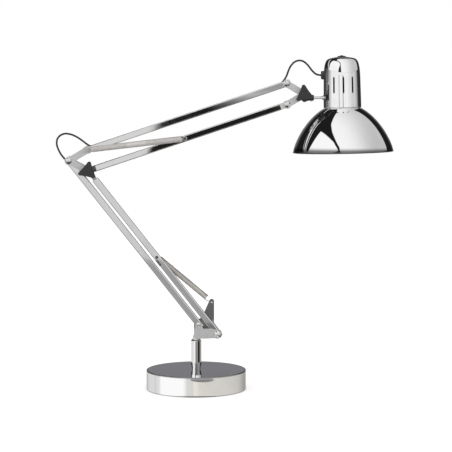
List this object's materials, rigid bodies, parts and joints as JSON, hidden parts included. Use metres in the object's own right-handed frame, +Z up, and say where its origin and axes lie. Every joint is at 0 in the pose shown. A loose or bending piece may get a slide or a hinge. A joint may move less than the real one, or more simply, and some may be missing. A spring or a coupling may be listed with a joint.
{
  "type": "balanced-arm desk lamp",
  "caption": "Desk lamp on a round weighted base: paired square bars carried by tension springs hold a tilting head with a bowl shade, clamp knobs and a push switch.",
  "frame": {"origin": "centre of the underside of the base, on the surface the lamp stands on", "axes": "+Z up; +X from the base towards the side the head reaches over; the arms move in the XZ plane, with the clamp knobs on the -Y side"},
  "size_m": [0.5377, 0.1639, 0.5347],
  "materials": {
    "chrome": "polished chrome plate on sheet steel",
    "bar_chrome": "bright chrome plate on square steel tube",
    "post_chrome": "polished chrome plate, turned and bored",
    "plate_steel": "satin nickel plate on pressed steel",
    "rivet_chrome": "bright plated rivets and bolts",
    "washer_steel": "bright zinc plate",
    "spring_steel": "warm nickel plate on spring wire",
    "cast_iron": "rough cast, unpainted",
    "pad": "fine ribbed rubber sheet",
    "brass": "turned brass",
    "black_plastic": "moulded, fine satin grain",
    "knob_plastic": "moulded, satin",
    "pale_plastic": "moulded, pale grey",
    "bakelite": "moulded phenolic, slightly glossy",
    "anchor_plastic": "black moulded block with a steel pin",
    "cord": "smooth round flex",
    "bulb_glass": "opal glass, satin"
  },
  "bodies": {
    "base": {"base_cover": "chrome", "base_weight": "cast_iron", "base_pad": "pad", "base_post": "post_chrome", "post_tube": "brass", "post_nut": "washer_steel", "lead_bush": "black_plastic", "swivel_bush": "black_plastic"},
    "turret": {"swivel_spindle": "plate_steel", "bracket_plate_near": "plate_steel", "bracket_plate_far": "plate_steel", "rear_pivot_rivet": "rivet_chrome", "front_pivot_bolt": "rivet_chrome", "front_pivot_nut": "washer_steel", "cord_base": "cord"},
    "lower_rear": {"lower_rear_bar": "bar_chrome", "cord_lower": "cord"},
    "lower_front": {"lower_front_bar": "bar_chrome", "front_bar_tongue": "plate_steel", "lower_anchor": "anchor_plastic"},
    "lower_coil": {"lower_spring": "spring_steel"},
    "lower_hook": {"lower_spring_plug": "washer_steel"},
    "elbow": {"elbow_plate_near": "plate_steel", "elbow_plate_far": "plate_steel", "elbow_rivet": "rivet_chrome", "upper_spring_pin": "washer_steel", "elbow_bolt": "washer_steel", "elbow_washers": "washer_steel", "cord_elbow": "cord"},
    "elbow_knob": {"elbow_knob": "knob_plastic"},
    "upper_top": {"upper_top_bar": "bar_chrome", "cord_upper": "cord"},
    "upper_bottom": {"upper_bottom_bar": "bar_chrome", "bottom_bar_fork": "black_plastic", "bottom_bar_fitting": "pale_plastic", "upper_anchor": "anchor_plastic"},
    "upper_coils": {"upper_spring_near": "spring_steel", "upper_spring_far": "spring_steel"},
    "upper_hooks": {"upper_spring_plugs": "washer_steel"},
    "wrist": {"wrist_plate_near": "plate_steel", "wrist_plate_far": "plate_steel", "wrist_rivets": "rivet_chrome", "wrist_bolt": "washer_steel", "wrist_washers": "washer_steel", "cord_head": "cord"},
    "wrist_knob": {"wrist_knob": "knob_plastic"},
    "knuckle": {"head_knuckle": "black_plastic", "knuckle_screw": "washer_steel"},
    "head": {"head_rod": "rivet_chrome", "rod_nut": "washer_steel", "lamp_cap": "chrome", "cap_grommet": "black_plastic", "lampholder": "bakelite", "shade_ring": "pale_plastic", "shade": "chrome", "switch_collar": "black_plastic", "bulb_glass": "bulb_glass", "bulb_cap": "brass"},
    "button": {"switch_button": "black_plastic"}
  },
  "joints": [
    {"name": "base_swivel", "type": "hinge", "parent": "base", "child": "turret", "pos_m": [0, 0, 0.079], "axis": [0, 0, 1], "range_deg": [-175, 175], "deforming": ["cord_base"]},
    {"name": "lower_arm", "type": "hinge", "parent": "turret", "child": "lower_rear", "pos_m": [0.0043, 0, 0.1048], "axis": [0, 1, 0], "range_deg": [-5, 45], "deforming": ["cord_base", "cord_elbow", "lower_spring"]},
    {"name": "lower_front_follow", "type": "hinge", "parent": "turret", "child": "lower_front", "pos_m": [0.03484, 0, 0.08897], "axis": [0, 1, 0], "range_deg": [-5.5, 45.5], "deforming": ["lower_spring"]},
    {"name": "elbow_level", "type": "hinge", "parent": "lower_rear", "child": "elbow", "pos_m": [-0.20225, 0, 0.36728], "axis": [0, 1, 0], "range_deg": [-45.5, 5.5], "deforming": ["cord_elbow"]},
    {"name": "upper_arm", "type": "hinge", "parent": "elbow", "child": "upper_top", "pos_m": [-0.17264, 0, 0.38479], "axis": [0, 1, 0], "range_deg": [-40, 24], "deforming": ["cord_elbow", "cord_head", "upper_spring_near", "upper_spring_far"]},
    {"name": "upper_bottom_follow", "type": "hinge", "parent": "elbow", "child": "upper_bottom", "pos_m": [-0.17171, 0, 0.35145], "axis": [0, 1, 0], "range_deg": [-40.5, 24.5], "deforming": ["upper_spring_near", "upper_spring_far"]},
    {"name": "wrist_level", "type": "hinge", "parent": "upper_top", "child": "wrist", "pos_m": [0.14438, 0, 0.48994], "axis": [0, 1, 0], "range_deg": [-24.5, 40.5], "deforming": ["cord_head"]},
    {"name": "head_tilt", "type": "hinge", "parent": "wrist", "child": "knuckle", "pos_m": [0.17231, 0, 0.4728], "axis": [0, 1, 0], "range_deg": [-75, 30], "deforming": ["cord_head"]},
    {"name": "head_roll", "type": "hinge", "parent": "knuckle", "child": "head", "pos_m": [0.18231, 0, 0.4674], "axis": [1, 0, 0], "range_deg": [-60, 60], "deforming": ["cord_head"]},
    {"name": "switch_press", "type": "slide", "parent": "head", "child": "button", "axis": [-0.0209, 0, 0.9998], "range_m": [-0.0025, 0], "stiffness_N_per_m": 400},
    {"name": "elbow_knob_turn", "type": "hinge", "parent": "elbow", "child": "elbow_knob", "pos_m": [-0.17171, 0, 0.35145], "axis": [0, -1, 0], "range_deg": [0, 360]},
    {"name": "wrist_knob_turn", "type": "hinge", "parent": "wrist", "child": "wrist_knob", "pos_m": [0.17231, 0, 0.4728], "axis": [0, -1, 0], "range_deg": [0, 360]},
    {"name": "lower_coil_swing", "type": "hinge", "parent": "turret", "child": "lower_coil", "pos_m": [0.025, 0, 0.1394], "axis": [0, 1, 0], "range_deg": [-7.7, 65.3], "deforming": ["lower_spring"]},
    {"name": "lower_hook_swing", "type": "hinge", "parent": "lower_front", "child": "lower_hook", "pos_m": [-0.06274, 0, 0.21298], "axis": [0, 1, 0], "range_deg": [-2.7, 20.3]},
    {"name": "upper_coil_swing", "type": "hinge", "parent": "elbow", "child": "upper_coils", "pos_m": [-0.17264, 0, 0.38479], "axis": [0, 1, 0], "range_deg": [-42.86, 25.92], "deforming": ["upper_spring_near", "upper_spring_far"]},
    {"name": "upper_hook_swing", "type": "hinge", "parent": "upper_bottom", "child": "upper_hooks", "pos_m": [-0.01719, 0, 0.4027], "axis": [0, 1, 0], "range_deg": [-2.86, 1.92]}
  ],
  "couplings": [
    {"joint": "lower_front_follow", "follows": "lower_arm", "ratio": 1},
    {"joint": "elbow_level", "follows": "lower_arm", "ratio": -1},
    {"joint": "lower_coil_swing", "follows": "lower_arm", "ratio": 1.44},
    {"joint": "lower_hook_swing", "follows": "lower_arm", "ratio": 0.44},
    {"joint": "upper_bottom_follow", "follows": "upper_arm", "ratio": 1},
    {"joint": "wrist_level", "follows": "upper_arm", "ratio": -1},
    {"joint": "upper_coil_swing", "follows": "upper_arm", "ratio": 1.059},
    {"joint": "upper_hook_swing", "follows": "upper_arm", "ratio": 0.059}
  ]
}
